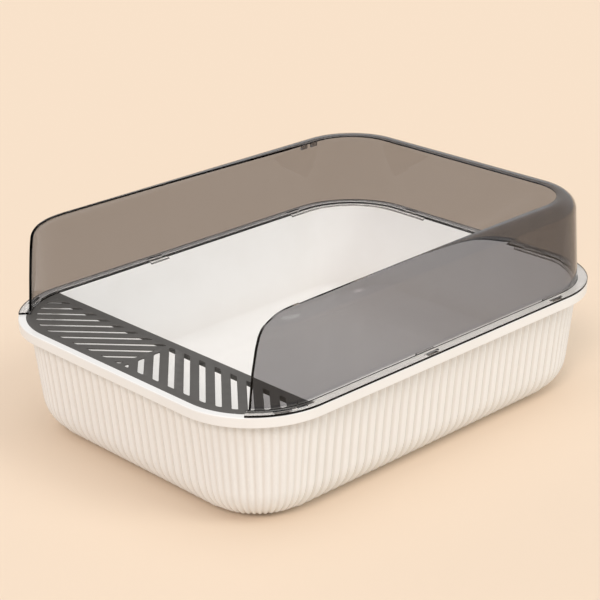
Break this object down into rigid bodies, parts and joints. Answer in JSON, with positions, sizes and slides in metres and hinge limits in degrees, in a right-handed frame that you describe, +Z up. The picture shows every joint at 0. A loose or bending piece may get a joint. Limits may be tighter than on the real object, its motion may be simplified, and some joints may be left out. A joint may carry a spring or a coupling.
{
  "type": "litter tray",
  "caption": "Fluted rectangular litter tray with a lift-out slotted entry grate and a clip-on transparent splash shield that curls inwards at the top.",
  "frame": {"origin": "centre of the footprint, on the ground", "axes": "-Y towards the entrance, +X to the side whose front flange has the extra short window, +Z up"},
  "size_m": [0.394, 0.52, 0.2125],
  "materials": {
    "basin_plastic": "satin gloss",
    "smoky_clear_plastic": "clear smoky polystyrene, glossy",
    "grate_plastic": "matt"
  },
  "bodies": {
    "tray": {"tray_basin": "basin_plastic"},
    "shield": {"splash_shield": "smoky_clear_plastic"},
    "grate": {"litter_grate": "grate_plastic"}
  },
  "joints": [
    {"name": "shield_lift", "type": "slide", "parent": "tray", "child": "shield", "axis": [0, 0, 1], "range_m": [0, 0.3]},
    {"name": "grate_lift", "type": "slide", "parent": "tray", "child": "grate", "axis": [0, 0, 1], "range_m": [0, 0.15]}
  ],
  "couplings": [
    {"joint": "grate_lift", "follows": "shield_lift", "ratio": 0.5}
  ]
}
